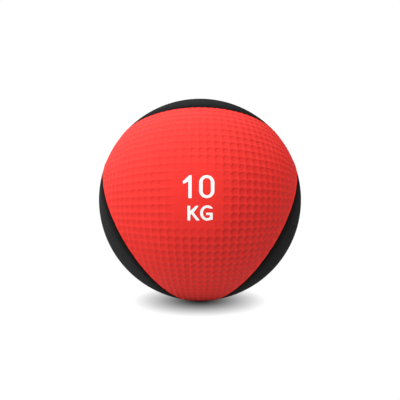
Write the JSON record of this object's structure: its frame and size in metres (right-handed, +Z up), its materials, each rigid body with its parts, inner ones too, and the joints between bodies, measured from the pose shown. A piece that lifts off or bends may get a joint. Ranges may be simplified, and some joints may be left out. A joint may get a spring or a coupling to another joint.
{
  "type": "medicine ball",
  "caption": "Rubber medicine ball with textured red front and back panels, smooth black lens-shaped side panels, grooved seams, a weighted wall, a bladder and a needle valve.",
  "frame": {"origin": "centre of the ball", "axes": "+Z up as the ball lies on a floor, -Y the side with the marked panel, whose middle looks 12.6 degrees above -Y; the needle valve is opposite it, 12.6 degrees below +Y"},
  "size_m": [0.28, 0.2802, 0.28],
  "materials": {
    "red_cover": "pitted, satin",
    "black_cover": "smooth, satin",
    "seam": "matt",
    "marking": "smooth white",
    "winding": "nylon thread under rubber cement",
    "tape": "rubberised cloth",
    "ballast": "mineral-filled, matt",
    "bladder": "smooth",
    "valve_rubber": "smooth",
    "valve_core": "soft, lubricated"
  },
  "bodies": {
    "root": {"cover_front": "red_cover", "cover_back": "red_cover", "side_panel_top": "black_cover", "side_panel_left": "black_cover", "side_panel_right": "black_cover", "seam_strip_top": "seam", "seam_strip_left": "seam", "seam_strip_right": "seam", "mark_number": "marking", "mark_unit": "marking", "winding": "winding", "splice_tape": "tape", "ballast_front": "ballast", "ballast_back": "ballast", "bladder": "bladder", "valve_patch": "valve_rubber", "valve_pocket": "valve_rubber", "valve_core": "valve_core", "valve_collar": "valve_rubber"}
  },
  "joints": []
}
